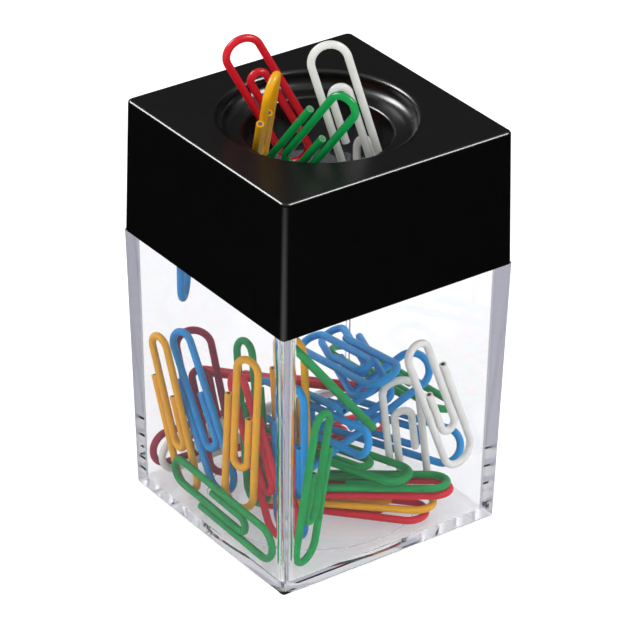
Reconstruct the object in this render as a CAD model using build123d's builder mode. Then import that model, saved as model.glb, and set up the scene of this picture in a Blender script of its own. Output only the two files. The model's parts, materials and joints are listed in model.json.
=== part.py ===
from build123d import *
import os
import numpy as np

os.makedirs("parts", exist_ok=True)

# Clear box: a drafted square tub with a straight neck that the cap slips over (mm)
shoulder_width = 44.0
foot_width = 41.8
shoulder_height = 47.0
foot_wall = 1.6
floor_thickness = 1.8
box_corner = 0.6
cavity_corner = 1.0
foot_edge = 0.4
base_recess_diameter = 32.8
base_recess_depth = 0.5
neck_height = 7.0
neck_wall = 1.1
neck_corner = 1.2

# Cap: a square hood with a round well in its top
cap_height = 23.0
cap_draft = 0.45
cap_corner = 1.1
cap_top_edge = 0.5
skirt_wall = 1.05
skirt_fit = 0.10
rim_gap = 0.5
hood_wall = 1.2
roof_thickness = 2.0
well_diameter = 31.1
well_depth = 2.7
well_lip = 0.7
well_cove = 1.8
dish_wall = 1.6
throat_diameter = 23.4
throat_wall = 1.3
throat_edge = 0.5

# Ring magnet round the throat, and the snap-in ring that keeps it in its pocket
magnet_width = 4.8
magnet_thickness = 5.2
magnet_play = 0.2
pocket_wall = 1.0
retainer_thickness = 1.8
retainer_play = 0.1
bead_height = 0.6
bead_size = 0.3

# Coated paper clip, bent from one length of wire
clip_length = 28.0
clip_width = 7.05
wire_diameter = 1.25
wire_gap = 0.25
outer_leg = 20.2
inner_inset = 7.3
inner_leg = 17.1

# Clearances round the clips, the steps in which a loose clip gives way, and the pull at the well
clip_clearance = 0.2
well_clearance = 0.3
lay_clearance = 0.12
lay_reach = 0.25
slide_step = 0.4
side_step = 0.6
settle_step = 0.2
pull_length = 30.0
hang_overlap = 5.2

# Levels
rim_z = shoulder_height + neck_height
cap_top_z = shoulder_height + cap_height
roof_z = cap_top_z - roof_thickness
ledge_z = cap_top_z - well_depth
dish_z = ledge_z - dish_wall
magnet_z = dish_z - magnet_thickness
retainer_z = magnet_z - retainer_thickness
bead_z = retainer_z - retainer_play
throat_z = bead_z - bead_height

# Widths and radii that follow from the fits
neck_width = shoulder_width - 2 * (skirt_wall + skirt_fit)
socket_width = neck_width + 2 * skirt_fit
cap_top_width = shoulder_width - 2 * cap_draft
hood_width = cap_top_width - 2 * hood_wall
cavity_foot = foot_width - 2 * foot_wall
cavity_rim = neck_width - 2 * neck_wall
well_r = well_diameter / 2
dish_r = well_r + dish_wall
throat_r = throat_diameter / 2
tube_r = throat_r + throat_wall
magnet_inner_r = tube_r + magnet_play
magnet_outer_r = magnet_inner_r + magnet_width
pocket_r = magnet_outer_r + magnet_play
pocket_outer_r = pocket_r + pocket_wall

# Clip bends: the outer bend, the loop at the other end and the inner bend
outer_r = (clip_width - wire_diameter) / 2
inner_r = outer_r - wire_diameter - wire_gap
loop_r = (outer_r + inner_r) / 2
clip_end = clip_length / 2
outer_x = -clip_end + wire_diameter / 2 + outer_r
loop_x = clip_end - wire_diameter / 2 - loop_r
inner_x = -clip_end + inner_inset + wire_diameter / 2 + inner_r

# Clear box: drafted walls, straight neck, drafted cavity and a round recess underneath
with BuildPart() as clear_box:
    with BuildSketch():
        RectangleRounded(foot_width, foot_width, box_corner)
    with BuildSketch(Plane.XY.offset(shoulder_height)):
        RectangleRounded(shoulder_width, shoulder_width, box_corner)
    loft()
    fillet(clear_box.edges().group_by(Axis.Z)[0], foot_edge)
    with BuildSketch(Plane.XY.offset(shoulder_height)):
        RectangleRounded(neck_width, neck_width, neck_corner)
    extrude(amount=neck_height)
    with BuildSketch(Plane.XY.offset(floor_thickness)):
        RectangleRounded(cavity_foot, cavity_foot, cavity_corner)
    with BuildSketch(Plane.XY.offset(rim_z)):
        RectangleRounded(cavity_rim, cavity_rim, cavity_corner)
    loft(mode=Mode.SUBTRACT)
    with BuildSketch():
        Circle(base_recess_diameter / 2)
    extrude(amount=base_recess_depth, mode=Mode.SUBTRACT)
clear_box.part.label = "clear_box"
export_step(clear_box.part, "parts/clear_box.step")

# Cap: the hood, the dished well with its throat tube, and the pocket wall for the magnet
with BuildPart() as cap_shell:
    with BuildSketch(Plane.XY.offset(shoulder_height)):
        RectangleRounded(shoulder_width, shoulder_width, cap_corner)
    with BuildSketch(Plane.XY.offset(cap_top_z)):
        RectangleRounded(cap_top_width, cap_top_width, cap_corner)
    loft()
    fillet(cap_shell.edges().group_by(Axis.Z)[-1], cap_top_edge)
    with BuildSketch(Plane.XY.offset(shoulder_height)):
        RectangleRounded(socket_width, socket_width, neck_corner)
    extrude(amount=neck_height + rim_gap, mode=Mode.SUBTRACT)
    with BuildSketch(Plane.XY.offset(shoulder_height)):
        RectangleRounded(hood_width, hood_width, cap_corner)
    extrude(amount=roof_z - shoulder_height, mode=Mode.SUBTRACT)
    with BuildSketch(Plane.XY.offset(dish_z)):
        Circle(dish_r)
    extrude(amount=roof_z - dish_z)
    with BuildSketch(Plane.XY.offset(throat_z)):
        Circle(tube_r)
    extrude(amount=roof_z - throat_z)
    with BuildSketch(Plane.XY.offset(throat_z)):
        Circle(tube_r + bead_size)
    extrude(amount=bead_height)
    with BuildSketch(Plane.XY.offset(retainer_z)):
        Circle(pocket_outer_r)
        Circle(pocket_r, mode=Mode.SUBTRACT)
    extrude(amount=roof_z - retainer_z)
    with BuildSketch(Plane.XZ):
        with BuildLine():
            Polyline((0, cap_top_z), (well_r, cap_top_z), (well_r, ledge_z + well_cove))
            CenterArc((well_r - well_cove, ledge_z + well_cove), well_cove, 0, -90)
            Polyline((well_r - well_cove, ledge_z), (throat_r, ledge_z), (throat_r, throat_z), (0, throat_z),
                     (0, cap_top_z))
        make_face()
    revolve(axis=Axis.Z, mode=Mode.SUBTRACT)
    rounds = cap_shell.edges().filter_by(GeomType.CIRCLE)
    fillet(rounds.filter_by_position(Axis.Z, cap_top_z, cap_top_z).sort_by(SortBy.LENGTH)[-1], well_lip)
    rounds = cap_shell.edges().filter_by(GeomType.CIRCLE)
    fillet(rounds.filter_by_position(Axis.Z, ledge_z, ledge_z).sort_by(SortBy.LENGTH)[0], throat_edge)
cap_shell.part.label = "cap_shell"
export_step(cap_shell.part, "parts/cap_shell.step")

# Ring magnet, seated against the underside of the dish
with BuildPart() as ring_magnet:
    with BuildSketch(Plane.XY.offset(magnet_z)):
        Circle(magnet_outer_r)
        Circle(magnet_inner_r, mode=Mode.SUBTRACT)
    extrude(amount=magnet_thickness)
ring_magnet.part.label = "ring_magnet"
export_step(ring_magnet.part, "parts/ring_magnet.step")

# Retainer ring, face to face under the magnet and held by the bead on the throat tube
with BuildPart() as magnet_retainer:
    with BuildSketch(Plane.XY.offset(retainer_z)):
        Circle(pocket_r - retainer_play)
        Circle(tube_r + retainer_play, mode=Mode.SUBTRACT)
    extrude(amount=retainer_thickness)
magnet_retainer.part.label = "magnet_retainer"
export_step(magnet_retainer.part, "parts/magnet_retainer.step")


def coated_clip(name, centre, along, square):
    """One clip: its length runs along one direction, and its flat side faces the other."""
    seat = Plane(origin=tuple(centre), x_dir=tuple(along), z_dir=tuple(square))
    with BuildPart() as clip:
        with BuildLine(seat):
            tail = Line((outer_leg - clip_end, -outer_r), (outer_x, -outer_r))
            CenterArc((outer_x, 0), outer_r, 270, -180)
            Line((outer_x, outer_r), (loop_x, outer_r))
            CenterArc((loop_x, outer_r - loop_r), loop_r, 90, -180)
            Line((loop_x, -inner_r), (inner_x, -inner_r))
            CenterArc((inner_x, 0), inner_r, 270, -180)
            Line((inner_x, inner_r), (inner_leg - clip_end, inner_r))
        with BuildSketch(Plane(origin=tail @ 0, z_dir=tail % 0)):
            Circle(wire_diameter / 2)
        sweep()
    clip.part.label = name
    export_step(clip.part, f"parts/{name}.step")


def wire_run(start, end):
    """Points along a straight leg of the wire."""
    return np.linspace(start, end, 40)


def wire_bend(x, y, radius, start):
    """Points round a half turn of the wire, clockwise from a start angle."""
    angle = np.radians(start - np.linspace(0, 180, 19))
    return np.stack([x + radius * np.cos(angle), y + radius * np.sin(angle)], axis=1)


# Centreline of the clip's wire as points in its own plane
wire_line = np.concatenate([
    wire_run((outer_leg - clip_end, -outer_r), (outer_x, -outer_r)),
    wire_bend(outer_x, 0, outer_r, 270),
    wire_run((outer_x, outer_r), (loop_x, outer_r)),
    wire_bend(loop_x, outer_r - loop_r, loop_r, 90),
    wire_run((loop_x, -inner_r), (inner_x, -inner_r)),
    wire_bend(inner_x, 0, inner_r, 270),
    wire_run((inner_x, inner_r), (inner_leg - clip_end, inner_r)),
])


def leaning_axes(face, lean, spin):
    """Unit rows along, across and square to a clip whose flat side faces a compass angle and leans up."""
    face, lean, spin = np.radians([face, lean, spin])
    square = np.array([np.cos(lean) * np.cos(face), np.cos(lean) * np.sin(face), np.sin(lean)])
    level = np.array([-np.sin(face), np.cos(face), 0.0])
    along = np.cos(spin) * level + np.sin(spin) * np.cross(square, level)
    return np.array([along, np.cross(square, along), square])


def standing_axes(heading, pitch, twist):
    """Unit rows along, across and square to a clip that stands at a pitch and leans towards a heading."""
    heading, pitch, twist = np.radians([heading, pitch, twist])
    along = np.array([np.cos(pitch) * np.cos(heading), np.cos(pitch) * np.sin(heading), np.sin(pitch)])
    level = np.array([-np.sin(heading), np.cos(heading), 0.0])
    across = np.cos(twist) * level + np.sin(twist) * np.cross(along, level)
    return np.array([along, across, np.cross(along, across)])


# Most rounds in which the clips at the well move apart
ease_rounds = 700


def ease_apart(axes, half_size, centres, clearance, hold):
    """Move flat clips bodily until none touches another; earlier ones move less, and hold keeps them in."""
    count = len(axes)
    a, b = np.triu_indices(count, 1)
    crossed = np.cross(axes[a][:, :, None, :], axes[b][:, None, :, :]).reshape(len(a), 9, 3)
    ways = np.concatenate([axes[a], axes[b], crossed], axis=1)
    lengths = np.linalg.norm(ways, axis=2)
    useful = lengths > 0.001
    ways = ways / np.maximum(lengths, 0.001)[..., None]
    reach_a = np.einsum("pkm,m->pk", np.abs(np.einsum("pkc,pmc->pkm", ways, axes[a])), half_size)
    reach_b = np.einsum("pkm,m->pk", np.abs(np.einsum("pkc,pmc->pkm", ways, axes[b])), half_size)
    weight = (np.arange(count) + 3.0) ** 2
    share_a = weight[a] / (weight[a] + weight[b])
    pair = np.arange(len(a))
    centres = hold(centres.copy())
    for step in range(ease_rounds):
        apart = np.einsum("pkc,pc->pk", ways, centres[b] - centres[a])
        overlap = np.where(useful, reach_a + reach_b + clearance - np.abs(apart), np.inf)
        least = overlap.argmin(axis=1)
        depth = np.maximum(overlap[pair, least], 0.0)
        if step > ease_rounds / 2 and depth.max() < 0.05 * clearance:
            break
        push = ways[pair, least] * np.sign(apart[pair, least] + 1e-9)[:, None] * depth[:, None] * 0.9
        move = np.zeros_like(centres)
        np.add.at(move, a, -push * share_a[:, None])
        np.add.at(move, b, push * (1.0 - share_a)[:, None])
        centres = hold(centres + np.clip(move, -1.0, 1.0))
    print("clips eased apart in", step, "steps, overlap left", round(float(depth.max()), 3))
    return centres


# Ways a loose clip gives as it is poured in: down towards the far corner, sideways and up
give_ways = np.array([[0.51, 0.70, -0.50], [0.81, -0.59, 0.0], [0.29, 0.40, 0.87]])
slides, sides, rises = np.meshgrid(np.arange(-36, 37) * slide_step, np.arange(-4, 5) * side_step,
                                   np.arange(-4, 5) * side_step, indexing="ij")
gives = np.stack([slides.ravel(), sides.ravel(), rises.ravel()], axis=1)
ease = 0.14 * np.abs(gives[:, 0]) + np.hypot(gives[:, 1], gives[:, 2])
gives = gives[np.argsort(ease, kind="stable")] @ give_ways


def wall_half(height):
    """Half the width of the drafted cavity at a height."""
    climb = (height - floor_thickness) / (rim_z - floor_thickness)
    return (cavity_foot + (cavity_rim - cavity_foot) * climb) / 2


def box_space(points):
    """Space between the wire at these points and the nearest wall, or the floor if that is nearer."""
    walls = wall_half(points[..., 2]) - np.abs(points[..., :2]).max(axis=-1)
    return np.minimum(walls, points[..., 2] - floor_thickness) - wire_diameter / 2


def wire_space(points, laid):
    """Space between the wire at these points and the wires laid before it."""
    if len(laid) == 0:
        return clip_length
    squares = (points ** 2).sum(axis=1)[:, None] + (laid ** 2).sum(axis=1) - 2 * points @ laid.T
    return np.sqrt(max(squares.min(), 0.0)) - wire_diameter


def bring_inside(place, wire):
    """Move a clip straight in from the walls and up from the floor until all its wire is in the box."""
    room = wire_diameter / 2 + lay_clearance
    for _ in range(60):
        points = place + wire
        half = wall_half(points[:, 2])[:, None] - room
        past_low = np.maximum((-points[:, :2] - half).max(axis=0), 0)
        past_high = np.maximum((points[:, :2] - half).max(axis=0), 0)
        upward = max(floor_thickness + room - points[:, 2].min(), 0)
        move = np.append(past_low - past_high, upward)
        if np.abs(move).max() < 1e-6:
            break
        place = place + move * 1.001
    return place


def lay_clip(start, wire, laid):
    """Lay a clip where it fits nearest its start, then let it slide down until something holds it."""
    start = bring_inside(start, wire)
    for _ in range(8):
        in_box = (box_space(start + gives[:, None] + wire[::4]) >= lay_clearance).all(axis=1)
        for give in gives[in_box]:
            place = start + give
            if wire_space(place + wire[::3], laid[::3]) < lay_clearance:
                continue
            space = min(box_space(place + wire).min(), wire_space(place + wire, laid))
            if space < lay_clearance:
                continue
            while space > lay_clearance + lay_reach:
                lower = place + give_ways[0] * settle_step
                space = min(box_space(lower + wire).min(), wire_space(lower + wire, laid))
                if space >= lay_clearance:
                    place = lower
            return place
        start = start + np.array([0.0, 0.0, clip_width])
    return start


# Loose clips in the order they lie: name, start across the floor in half widths and above it in clip
# lengths, then the way the flat side faces, its lean from upright and the turn in its own plane
loose_clips = [
    ("clip_green_01", -0.95, -0.11, 0.14, 1, 1, 3),
    ("clip_yellow_01", -0.91, 0.68, 0.49, 1, 2, 72),
    ("clip_yellow_02", -0.80, -0.18, 0.65, 17, -4, 90),
    ("clip_green_02", -0.66, -0.87, 0.50, -67, -4, 83),
    ("clip_white_01", 0.46, -0.59, 0.48, -118, -17, -82),
    ("clip_red_01", 0.05, -0.32, 0.02, 38, 90, 3),
    ("clip_yellow_03", 0.10, -0.34, 0.07, 43, 88, 3),
    ("clip_red_02", 0.26, -0.45, 0.13, 50, 84, 4),
    ("clip_green_03", 0.26, -0.46, 0.18, 50, 82, 4),
    ("clip_blue_01", -0.83, 0.37, 0.61, 9, -8, 56),
    ("clip_maroon_01", -0.58, 0.66, 0.50, -126, 2, -80),
    ("clip_white_02", 0.54, -0.95, 0.80, -84, 2, 111),
    ("clip_blue_02", 0.61, -0.33, 0.36, -150, 30, 176),
    ("clip_blue_03", -0.56, -0.46, 0.51, -8, 0, 88),
    ("clip_red_03", -0.62, -0.19, 0.47, 180, 3, 121),
    ("clip_green_04", -0.46, 0.08, 0.56, 180, 8, 108),
    ("clip_maroon_02", -0.24, 0.96, 0.16, 90, 0, 180),
    ("clip_white_03", -0.20, 0.88, 0.15, 90, 3, 178),
    ("clip_green_05", 0.10, -0.13, 0.29, 20, 88, 0),
    ("clip_green_06", 0.16, 0.41, 0.08, 0, 88, 110),
    ("clip_red_04", 0.21, 0.41, 0.19, 0, 88, 84),
    ("clip_white_04", 0.34, 0.75, 0.26, 90, 60, 170),
    ("clip_red_05", -0.05, 0.47, 0.56, 42, 66, 0),
    ("clip_yellow_04", -0.11, 0.16, 0.49, -5, 4, 92),
    ("clip_blue_04", 0.45, -0.02, 0.46, -125, 30, 217),
    ("clip_blue_05", -0.16, -0.25, 0.54, 0, -17, 172),
    ("clip_green_07", -0.35, -0.65, 1.02, -7, 38, 101),
    ("clip_blue_06", 0.52, 0.26, 0.70, 145, 62, -166),
    ("clip_green_08", 0.76, 0.03, 0.60, 0, 80, -174),
    ("clip_blue_07", 0.39, 0.13, 0.79, 145, 66, -150),
]

heap = np.zeros((0, 3))
for name, across_x, across_y, height, *turn in loose_clips:
    axes = leaning_axes(*turn)
    wire = wire_line[:, :1] * axes[0] + wire_line[:, 1:] * axes[1]
    floor_place = cavity_foot / 2 * np.array([across_x, across_y])
    start = np.append(floor_place, floor_thickness + clip_length * height)
    place = lay_clip(start, wire, heap)
    print(name, "moved", np.round(place - start, 1))
    heap = np.concatenate([heap, place + wire])
    coated_clip(name, place, axes[0], axes[2])

# Clips at the well: name, foot in throat radii and in clip lengths above the throat's lower end, then
# heading, pitch and twist, and which end is up. Each keeps clear of the others all the way out.
well_clips = [
    ("clip_red_06", 0.43, 0.33, -0.06, 178, 61, 78, -1),
    ("clip_white_05", 0.30, -0.74, 0.0, 139, 73, 103, -1),
    ("clip_green_09", -0.80, 0.16, 0.13, -80, 53, -73, 1),
    ("clip_yellow_05", -0.41, 0.85, -0.01, -116, 58, 61, 1),
]
clip_half = np.array([clip_length, clip_width, wire_diameter]) / 2
well_axes = np.array([standing_axes(*row[4:7]) for row in well_clips])
pulled_half = clip_half + np.array([pull_length / 2, 0.0, 0.0])
well_feet = np.array([[throat_r * row[1], throat_r * row[2], throat_z + clip_length * row[3]]
                      for row in well_clips])
well_start = well_feet + well_axes[:, 0] * pulled_half[0]
pulls = np.linspace(0.0, pull_length, 16)


def hold_in_throat(centres):
    """Rest each clip against the throat, so that all the way out it just clears the throat and the well."""
    for n, axes in enumerate(well_axes):
        lie = axes * well_clips[n][7]
        rest = centres[n] - axes[0] * pull_length / 2 + wire_line[:, :1] * lie[0] + wire_line[:, 1:] * lie[1]
        swept = (rest[:, None, :] + axes[0] * pulls[:, None]).reshape(-1, 3)
        radius = np.hypot(swept[:, 0], swept[:, 1])
        room = np.where(swept[:, 2] < ledge_z + wire_diameter, throat_r, well_r)
        room = room - wire_diameter / 2 - well_clearance
        inside = (swept[:, 2] > throat_z - wire_diameter) & (swept[:, 2] < cap_top_z + wire_diameter)
        excess = np.where(inside, radius - room, -room)
        worst = excess.argmax()
        centres[n, :2] -= swept[worst, :2] / radius[worst] * excess[worst]
    return centres


well_places = ease_apart(well_axes, pulled_half, well_start, well_clearance, hold_in_throat)
well_places = well_places - well_axes[:, 0] * pull_length / 2
for row, place, axes in zip(well_clips, well_places, well_axes):
    coated_clip(row[0], place, axes[0] * row[7], axes[2])

# Two clips hang from the magnet inside the cap: one outside the pocket wall, one in the throat.
# Each hangs straight down and stops short of the loose clips below it.
throat_seat_r = np.sqrt((throat_r - wire_diameter / 2 - clip_clearance) ** 2 - outer_r ** 2)
hanging_clips = [
    ("clip_blue_08", 135, pocket_outer_r + clip_clearance + wire_diameter / 2, retainer_z),
    ("clip_white_06", 8, throat_seat_r - wire_diameter / 2, throat_z),
]
for name, azimuth, radius, wall_end in hanging_clips:
    out = np.array([np.cos(np.radians(azimuth)), np.sin(np.radians(azimuth)), 0.0])
    below = heap[np.hypot(heap[:, 0] - radius * out[0], heap[:, 1] - radius * out[1]) < clip_width]
    heap_top = below[:, 2].max() if len(below) else floor_thickness
    low_end = max(wall_end + hang_overlap - clip_length, heap_top + wire_diameter + clip_clearance)
    coated_clip(name, radius * out + np.array([0.0, 0.0, low_end + clip_end]), (0, 0, 1), out)
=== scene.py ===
import json
import math

import bmesh
import bpy
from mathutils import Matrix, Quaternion, Vector

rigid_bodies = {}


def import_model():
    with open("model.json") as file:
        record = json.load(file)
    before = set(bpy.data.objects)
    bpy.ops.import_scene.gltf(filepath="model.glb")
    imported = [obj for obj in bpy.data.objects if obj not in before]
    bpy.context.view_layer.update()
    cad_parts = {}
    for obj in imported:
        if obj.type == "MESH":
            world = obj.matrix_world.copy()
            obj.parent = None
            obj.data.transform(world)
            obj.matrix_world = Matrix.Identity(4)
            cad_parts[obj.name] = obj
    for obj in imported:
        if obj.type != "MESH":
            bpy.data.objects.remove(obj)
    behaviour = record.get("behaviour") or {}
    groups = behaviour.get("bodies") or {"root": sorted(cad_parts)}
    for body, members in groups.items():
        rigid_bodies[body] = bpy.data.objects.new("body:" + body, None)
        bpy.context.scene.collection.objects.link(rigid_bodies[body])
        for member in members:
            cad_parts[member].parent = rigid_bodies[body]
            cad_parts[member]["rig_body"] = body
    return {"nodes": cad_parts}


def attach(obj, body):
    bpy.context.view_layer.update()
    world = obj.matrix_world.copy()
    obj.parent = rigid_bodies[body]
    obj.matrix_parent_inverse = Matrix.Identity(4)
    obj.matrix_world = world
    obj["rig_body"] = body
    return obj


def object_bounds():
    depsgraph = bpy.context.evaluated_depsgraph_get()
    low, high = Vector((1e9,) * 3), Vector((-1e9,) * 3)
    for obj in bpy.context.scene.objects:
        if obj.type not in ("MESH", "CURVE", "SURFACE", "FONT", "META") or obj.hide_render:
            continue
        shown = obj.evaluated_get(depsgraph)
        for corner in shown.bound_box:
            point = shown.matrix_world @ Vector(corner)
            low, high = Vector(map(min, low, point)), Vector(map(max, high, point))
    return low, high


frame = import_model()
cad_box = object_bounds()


# Clear box: a drafted square tub with a straight neck, injection moulded in crystal polystyrene.
# It stands on the rim round its base recess; the loose clips lie in it and the cap slips over its neck.

MM = 0.001


def linear(hex_colour):
    """An sRGB hex colour as linear red, green and blue with full alpha."""
    shown = [int(hex_colour[i:i + 2], 16) / 255 for i in (1, 3, 5)]
    return [c / 12.92 if c <= 0.04045 else ((c + 0.055) / 1.055) ** 2.4 for c in shown] + [1.0]


def add(tree, kind, values={}, links={}, **settings):
    """Add a node with its settings, its socket values and the links into it."""
    made = tree.nodes.new(kind)
    for name, value in settings.items():
        setattr(made, name, value)
    for name, value in values.items():
        made.inputs[name].default_value = value
    for name, source in links.items():
        tree.links.new(source, made.inputs[name])
    return made


def new_finish(name):
    """An empty material and its node tree."""
    finish = bpy.data.materials.new(name)
    finish.use_nodes = True
    finish.node_tree.nodes.clear()
    return finish, finish.node_tree


# Crystal polystyrene: clear and of high index, so edges gleam, with a faint lavender grey where the eye
# looks along a wall. Rubbing clips leave a slight haze in patches, the melt leaves shallow flow waves,
# and the corners, where hands and shelves rub, are hazed enough to look pale and not like dark glass.
crystal, tree = new_finish("crystal_polystyrene")
rub_patch = 6.0 * MM
flow_wave = 14.0 * MM
flow_height = 0.01 * MM
corner_start = 18.9 * MM
corner_full = 19.9 * MM
place = add(tree, "ShaderNodeTexCoord").outputs["Object"]
rub = add(tree, "ShaderNodeTexNoise", {"Scale": 1 / rub_patch, "Detail": 4.0}, {"Vector": place})
haze = add(tree, "ShaderNodeMapRange", {"From Min": 0.5, "From Max": 0.8, "To Min": 0.0, "To Max": 0.04},
           {"Value": rub.outputs["Fac"]})
side = add(tree, "ShaderNodeVectorMath", {}, {0: place}, operation="ABSOLUTE")
reach = add(tree, "ShaderNodeSeparateXYZ", {}, {"Vector": side.outputs["Vector"]})
inward = add(tree, "ShaderNodeMath", {}, {0: reach.outputs["X"], 1: reach.outputs["Y"]},
             operation="MINIMUM")
worn = add(tree, "ShaderNodeMapRange", {"From Min": corner_start, "From Max": corner_full, "To Max": 0.12},
           {"Value": inward.outputs["Value"]})
skin = add(tree, "ShaderNodeMath", {}, {0: haze.outputs["Result"], 1: worn.outputs["Result"]},
           operation="MAXIMUM")
flow = add(tree, "ShaderNodeTexNoise", {"Scale": 1 / flow_wave, "Detail": 1.0}, {"Vector": place})
ripple = add(tree, "ShaderNodeBump", {"Strength": 0.5, "Distance": flow_height},
             {"Height": flow.outputs["Fac"]})
wall = add(tree, "ShaderNodeBsdfPrincipled",
           {"Base Color": linear("#FDFDFE"), "IOR": 1.59, "Transmission Weight": 1.0},
           {"Roughness": skin.outputs["Value"], "Normal": ripple.outputs["Normal"]})
tint = add(tree, "ShaderNodeVolumeAbsorption", {"Color": linear("#DADAE6"), "Density": 10.0})
add(tree, "ShaderNodeOutputMaterial", {},
    {"Surface": wall.outputs["BSDF"], "Volume": tint.outputs["Volume"]})
frame["nodes"]["clear_box"].material_slots[0].material = crystal


# Paper clips: steel wire in a coloured vinyl coat, bent cold into the usual double loop.
# Loose ones lie in the box, four stand at the well and two hang inside from the magnet.

# Vinyl coat: extruded over the wire, so an even satin colour with a soft highlight along its length,
# a little deeper and paler in places where the coat is thick or thin.
vinyl_colours = {"red": "#DC182A", "maroon": "#A0183C", "yellow": "#F2AE08", "blue": "#1494DC",
                 "green": "#069A4A", "white": "#E8E8E4"}
mottle = 3.0 * MM
draw_mark = 0.5 * MM
mark_depth = 0.02 * MM
coats = {}
for colour, shade in vinyl_colours.items():
    coats[colour], tree = new_finish(colour + "_vinyl_coat")
    place = add(tree, "ShaderNodeTexCoord").outputs["Object"]
    cloud = add(tree, "ShaderNodeTexNoise", {"Scale": 1 / mottle, "Detail": 3.0}, {"Vector": place})
    value = add(tree, "ShaderNodeMapRange", {"To Min": 0.85, "To Max": 1.12},
                {"Value": cloud.outputs["Fac"]})
    depth = add(tree, "ShaderNodeHueSaturation", {"Color": linear(shade)},
                {"Value": value.outputs["Result"]})
    satin = add(tree, "ShaderNodeMapRange", {"To Min": 0.28, "To Max": 0.4},
                {"Value": cloud.outputs["Fac"]})
    marks = add(tree, "ShaderNodeTexNoise", {"Scale": 1 / draw_mark, "Detail": 2.0}, {"Vector": place})
    relief = add(tree, "ShaderNodeBump", {"Strength": 0.1, "Distance": mark_depth},
                 {"Height": marks.outputs["Fac"]})
    coat = add(tree, "ShaderNodeBsdfPrincipled", {"IOR": 1.53, "Specular IOR Level": 0.22},
               {"Base Color": depth.outputs["Color"], "Roughness": satin.outputs["Result"],
                "Normal": relief.outputs["Normal"]})
    add(tree, "ShaderNodeOutputMaterial", {}, {"Surface": coat.outputs["BSDF"]})
for name, clip in frame["nodes"].items():
    if name.startswith("clip_"):
        clip.material_slots[0].material = coats[name.split("_")[1]]


# Cut ends: the steel core of each wire, bare where wire and coat were sheared through together.
# A disc sits in each cut face, a hair proud of the coat, and goes where its clip goes. The record
# has no slot for bare steel, so it names its clip's slot, the coated steel wire.

# Steel wire: dark grey metal, dulled by the shear, with fine marks over the cut.
steel, tree = new_finish("sheared_steel_wire")
shear_mark = 0.12 * MM
shear_depth = 0.01 * MM
place = add(tree, "ShaderNodeTexCoord").outputs["Object"]
shear = add(tree, "ShaderNodeTexNoise", {"Scale": 1 / shear_mark, "Detail": 2.0}, {"Vector": place})
dull = add(tree, "ShaderNodeMapRange", {"To Min": 0.6, "To Max": 0.75}, {"Value": shear.outputs["Fac"]})
relief = add(tree, "ShaderNodeBump", {"Strength": 0.3, "Distance": shear_depth},
             {"Height": shear.outputs["Fac"]})
metal = add(tree, "ShaderNodeBsdfPrincipled", {"Base Color": linear("#5A5855"), "Metallic": 1.0},
            {"Roughness": dull.outputs["Result"], "Normal": relief.outputs["Normal"]})
add(tree, "ShaderNodeOutputMaterial", {}, {"Surface": metal.outputs["BSDF"]})

coat_thickness = 0.28 * MM
proud = 0.02 * MM
same_point = 0.001 * MM
cut_corner = math.radians(60)
for name, clip in frame["nodes"].items():
    if not name.startswith("clip_"):
        continue
    form = bmesh.new()
    form.from_mesh(clip.data)
    bmesh.ops.remove_doubles(form, verts=form.verts, dist=same_point)
    round_cut = [edge for edge in form.edges if edge.calc_face_angle(0.0) > cut_corner]
    bmesh.ops.delete(form, geom=form.faces[:], context="FACES_ONLY")
    bmesh.ops.delete(form, geom=list(set(form.edges) - set(round_cut)), context="EDGES")
    bmesh.ops.edgeloop_fill(form, edges=form.edges)
    rings = bmesh.ops.inset_individual(form, faces=form.faces, thickness=coat_thickness)["faces"]
    bmesh.ops.delete(form, geom=rings, context="FACES")
    lifts = [(disc, disc.normal.copy()) for disc in form.faces]
    for disc, across in lifts:
        raised = bmesh.ops.extrude_face_region(form, geom=[disc], use_keep_orig=True)["geom"]
        top = [item for item in raised if isinstance(item, bmesh.types.BMVert)]
        bmesh.ops.translate(form, vec=across * proud, verts=top)
        bmesh.ops.translate(form, vec=-across * proud, verts=disc.verts)
    bmesh.ops.recalc_face_normals(form, faces=form.faces)
    ends_mesh = bpy.data.meshes.new(name + "_cut_ends")
    form.to_mesh(ends_mesh)
    form.free()
    ends_mesh.materials.append(steel)
    ends = bpy.data.objects.new(name + "_cut_ends", ends_mesh)
    bpy.context.scene.collection.objects.link(ends)
    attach(ends, clip["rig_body"])


# Ring magnet: pressed and sintered ferrite, dark grey, seated in the pocket round the throat of the cap.
# It draws clips up to the well and is hidden behind the retainer.

# Sintered ferrite: dark, dull and stony, with a fine grit and no shine.
ferrite, tree = new_finish("sintered_ferrite")
grit = 0.4 * MM
grit_height = 0.05 * MM
place = add(tree, "ShaderNodeTexCoord").outputs["Object"]
grain = add(tree, "ShaderNodeTexNoise", {"Scale": 1 / grit, "Detail": 3.0}, {"Vector": place})
relief = add(tree, "ShaderNodeBump", {"Strength": 0.3, "Distance": grit_height},
             {"Height": grain.outputs["Fac"]})
dull = add(tree, "ShaderNodeMapRange", {"To Min": 0.55, "To Max": 0.75}, {"Value": grain.outputs["Fac"]})
stone = add(tree, "ShaderNodeBsdfPrincipled", {"Base Color": linear("#2E2D2C")},
            {"Roughness": dull.outputs["Result"], "Normal": relief.outputs["Normal"]})
add(tree, "ShaderNodeOutputMaterial", {}, {"Surface": stone.outputs["BSDF"]})
frame["nodes"]["ring_magnet"].material_slots[0].material = ferrite


# Magnet retainer: a flat ring, injection moulded in black polypropylene.
# It is pressed in under the magnet past a snap bead and shows only when the cap is seen from below.

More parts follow.
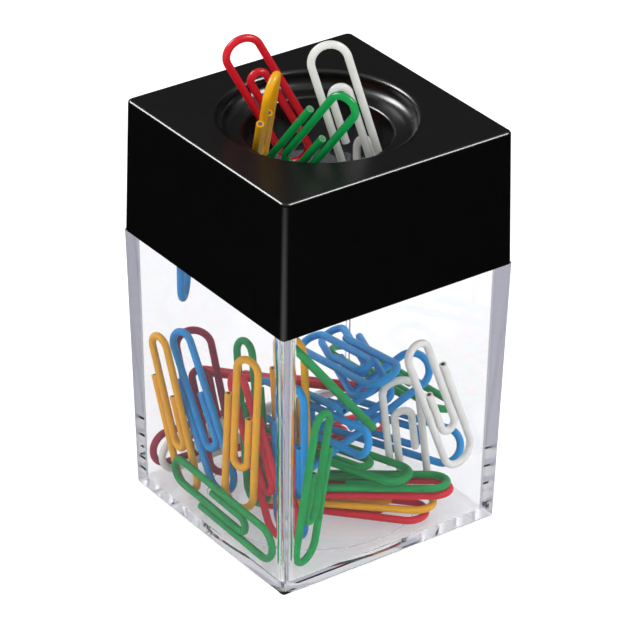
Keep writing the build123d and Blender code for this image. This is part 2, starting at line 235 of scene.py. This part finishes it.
# Polypropylene: soft black with a satin mould texture, lighter and duller than the cap.
satin_black, tree = new_finish("black_polypropylene")
mould_grain = 0.6 * MM
grain_height = 0.03 * MM
place = add(tree, "ShaderNodeTexCoord").outputs["Object"]
grain = add(tree, "ShaderNodeTexNoise", {"Scale": 1 / mould_grain, "Detail": 2.0}, {"Vector": place})
relief = add(tree, "ShaderNodeBump", {"Strength": 0.15, "Distance": grain_height},
             {"Height": grain.outputs["Fac"]})
dull = add(tree, "ShaderNodeMapRange", {"To Min": 0.42, "To Max": 0.58}, {"Value": grain.outputs["Fac"]})
ring = add(tree, "ShaderNodeBsdfPrincipled", {"Base Color": linear("#1B1B1C"), "IOR": 1.49},
           {"Roughness": dull.outputs["Result"], "Normal": relief.outputs["Normal"]})
add(tree, "ShaderNodeOutputMaterial", {}, {"Surface": ring.outputs["BSDF"]})
frame["nodes"]["magnet_retainer"].material_slots[0].material = satin_black


# Cap: a square hood with a round well in its top, injection moulded in black ABS.
# It slips over the neck of the box and holds the ring magnet in a pocket underneath.

# Black ABS: deep black with a semi-gloss mould skin, so its faces stay dark and its edges catch the light.
# A slight orange peel keeps the reflections from being perfectly even.
black, tree = new_finish("black_semi_gloss_abs")
peel = 2.5 * MM
peel_height = 0.02 * MM
place = add(tree, "ShaderNodeTexCoord").outputs["Object"]
wave = add(tree, "ShaderNodeTexNoise", {"Scale": 1 / peel, "Detail": 2.0}, {"Vector": place})
relief = add(tree, "ShaderNodeBump", {"Strength": 0.02, "Distance": peel_height},
             {"Height": wave.outputs["Fac"]})
gloss = add(tree, "ShaderNodeMapRange", {"To Min": 0.26, "To Max": 0.31}, {"Value": wave.outputs["Fac"]})
shell = add(tree, "ShaderNodeBsdfPrincipled", {"Base Color": linear("#030303"), "IOR": 1.5},
            {"Roughness": gloss.outputs["Result"], "Normal": relief.outputs["Normal"]})
add(tree, "ShaderNodeOutputMaterial", {}, {"Surface": shell.outputs["BSDF"]})
frame["nodes"]["cap_shell"].material_slots[0].material = black


# Stage: a pale floor that glows a little like a light table, a soft tent of light all round,
# and a small reflector card on the floor that only gloss can see.

floor_radius = 3.0
floor_drop = 0.1 * MM
floor_mesh = bpy.data.meshes.new("floor")
form = bmesh.new()
bmesh.ops.create_circle(form, cap_ends=True, segments=64, radius=floor_radius)
bmesh.ops.translate(form, vec=(0, 0, -floor_drop), verts=form.verts)
form.to_mesh(floor_mesh)
form.free()
floor = bpy.data.objects.new("floor", floor_mesh)
bpy.context.scene.collection.objects.link(floor)

# White paper: matt and pale, with a painted glow of its own, so it stays pale under the box where shade
# falls. After a reflection inside the clear walls it shows only a dimmer, faintly lavender painted glow, so
# the walls stay clear.
paper, tree = new_finish("white_paper")
sheet = add(tree, "ShaderNodeBsdfPrincipled",
            {"Base Color": linear("#F6F6F6"), "Roughness": 0.9, "Specular IOR Level": 0.0,
             "Emission Color": linear("#FFFFFF"), "Emission Strength": 0.45})
dim_painted_glow = add(tree, "ShaderNodeEmission", {"Color": linear("#F2F2FC"), "Strength": 0.62})
bounce = add(tree, "ShaderNodeLightPath").outputs["Glossy Depth"]
floor_look = add(tree, "ShaderNodeMixShader", {}, {0: bounce, 1: sheet.outputs["BSDF"],
                                                   2: dim_painted_glow.outputs["Emission"]})
add(tree, "ShaderNodeOutputMaterial", {}, {"Surface": floor_look.outputs["Shader"]})
floor_mesh.materials.append(paper)
floor.visible_glossy = False

card_mesh = bpy.data.meshes.new("reflector_card")
form = bmesh.new()
card_radius = 100.0 * MM
bmesh.ops.create_circle(form, cap_ends=True, segments=48, radius=card_radius)
card_place = Vector((-100.0, -78.0, 0.0)) * MM
bmesh.ops.translate(form, vec=card_place, verts=form.verts)
form.to_mesh(card_mesh)
form.free()
card = bpy.data.objects.new("reflector_card", card_mesh)
bpy.context.scene.collection.objects.link(card)

# Reflector white: a glow that fades to the card's rim, which lights the cap's rounded front corner.
card_white, tree = new_finish("reflector_white")
place = add(tree, "ShaderNodeTexCoord").outputs["Object"]
centred = add(tree, "ShaderNodeMapping",
              {"Location": -card_place / card_radius, "Scale": [1 / card_radius] * 3}, {"Vector": place})
fade = add(tree, "ShaderNodeTexGradient", {}, {"Vector": centred.outputs["Vector"]},
           gradient_type="SPHERICAL")
glow = add(tree, "ShaderNodeMapRange", {"To Max": 2.2}, {"Value": fade.outputs["Fac"]})
lit = add(tree, "ShaderNodeEmission", {}, {"Strength": glow.outputs["Result"]})
add(tree, "ShaderNodeOutputMaterial", {}, {"Surface": lit.outputs["Emission"]})
card_mesh.materials.append(card_white)
card.visible_camera = False
card.visible_diffuse = False
card.visible_transmission = False
card.visible_shadow = False

# Light tent: even on what stands outside, stronger where it enters through the clear box, and dimmer
# after a reflection inside the walls. Gloss sees it only high up, which keeps the cap black.
studio = bpy.data.worlds.new("studio")
studio.use_nodes = True
tree = studio.node_tree
tree.nodes.clear()
towards_sky = add(tree, "ShaderNodeTexCoord").outputs["Generated"]
way = add(tree, "ShaderNodeSeparateXYZ", {}, {"Vector": towards_sky})


def overhead(strength, steps):
    """A background whose brightness follows height, from (height, share of strength) steps."""
    sky = add(tree, "ShaderNodeValToRGB", {}, {"Fac": way.outputs["Z"]})
    ramp = sky.color_ramp
    ramp.elements.remove(ramp.elements[1])
    for step, (height, share) in enumerate(steps):
        spot = ramp.elements.new(height) if step else ramp.elements[0]
        spot.position = height
        spot.color = (share, share, share, 1)
    return add(tree, "ShaderNodeBackground", {"Strength": strength}, {"Color": sky.outputs["Color"]})


tent = add(tree, "ShaderNodeBackground", {"Color": linear("#FFFFFF"), "Strength": 1.0})
side_tent = add(tree, "ShaderNodeBackground", {"Color": linear("#FFFFFF"), "Strength": 2.6})
dim_tent = overhead(1.0, ((0.0, 0.6), (0.4, 0.75), (0.7, 0.9), (1.0, 1.0)))
strip = overhead(0.6, ((0.3, 0.005), (0.46, 0.05), (0.56, 0.2), (0.8, 1.0)))
white = add(tree, "ShaderNodeBackground", {"Color": linear("#FFFFFF"), "Strength": 1.0})
ray = add(tree, "ShaderNodeLightPath")
clear_way = ray.outputs["Is Transmission Ray"]
through = add(tree, "ShaderNodeMixShader", {}, {0: clear_way, 1: tent.outputs["Background"],
                                                2: side_tent.outputs["Background"]})
soft = add(tree, "ShaderNodeMixShader", {}, {0: ray.outputs["Glossy Depth"], 1: through.outputs["Shader"],
                                             2: dim_tent.outputs["Background"]})
mirror = add(tree, "ShaderNodeMath", {}, {0: ray.outputs["Is Glossy Ray"], 1: clear_way},
             operation="SUBTRACT")
light = add(tree, "ShaderNodeMixShader", {}, {0: mirror.outputs["Value"], 1: soft.outputs["Shader"],
                                              2: strip.outputs["Background"]})
seen = add(tree, "ShaderNodeMixShader", {}, {0: ray.outputs["Is Camera Ray"], 1: light.outputs["Shader"],
                                             2: white.outputs["Background"]})
add(tree, "ShaderNodeOutputWorld", {}, {"Surface": seen.outputs["Shader"]})
bpy.context.scene.world = studio
bpy.context.scene.view_settings.view_transform = "Standard"

# Light turns many times inside the clear walls before it leaves them.
wall_turns = 64
bpy.context.scene.cycles.max_bounces = wall_turns
bpy.context.scene.cycles.transmission_bounces = wall_turns
bpy.context.scene.cycles.glossy_bounces = wall_turns

# Two softboxes, one each side, seen only in gloss: they draw the bright lines along the cap's top edges.
softbox_reach = 0.6
softbox_width = 0.25
softbox_watts = 5.5
for side, towards in (("right", (0.51, -0.50, 0.70)), ("left", (-0.42, 0.70, 0.57))):
    lamp = bpy.data.lights.new("softbox_" + side, "AREA")
    lamp.size = softbox_width
    lamp.energy = softbox_watts
    softbox = bpy.data.objects.new("softbox_" + side, lamp)
    softbox.location = Vector(towards).normalized() * softbox_reach + Vector((0, 0, cad_box[1][2]))
    softbox.rotation_euler = Vector(towards).to_track_quat("Z", "Y").to_euler()
    softbox.visible_camera = False
    softbox.visible_diffuse = False
    softbox.visible_transmission = False
    bpy.context.scene.collection.objects.link(softbox)

# Camera: solved from the corners of the box and the cap in the photograph.
aim = Vector((0.51068, -0.36966, 33.4776)) * MM
distance = 620.763 * MM
eye = bpy.data.cameras.new("camera")
eye.sensor_width = 36.0
eye.lens = 219.2
eye.clip_start = 0.01
camera = bpy.data.objects.new("camera", eye)
bpy.context.scene.collection.objects.link(camera)
azimuth, elevation, roll = (math.radians(a) for a in (-35.8958, 29.7457, 0.6618))
back = Vector((math.sin(azimuth) * math.cos(elevation), -math.cos(azimuth) * math.cos(elevation),
               math.sin(elevation)))
camera.location = aim + back * distance
camera.rotation_mode = "QUATERNION"
camera.rotation_quaternion = (-back).to_track_quat("-Z", "Y") @ Quaternion((0, 0, 1), roll)
bpy.context.scene.camera = camera
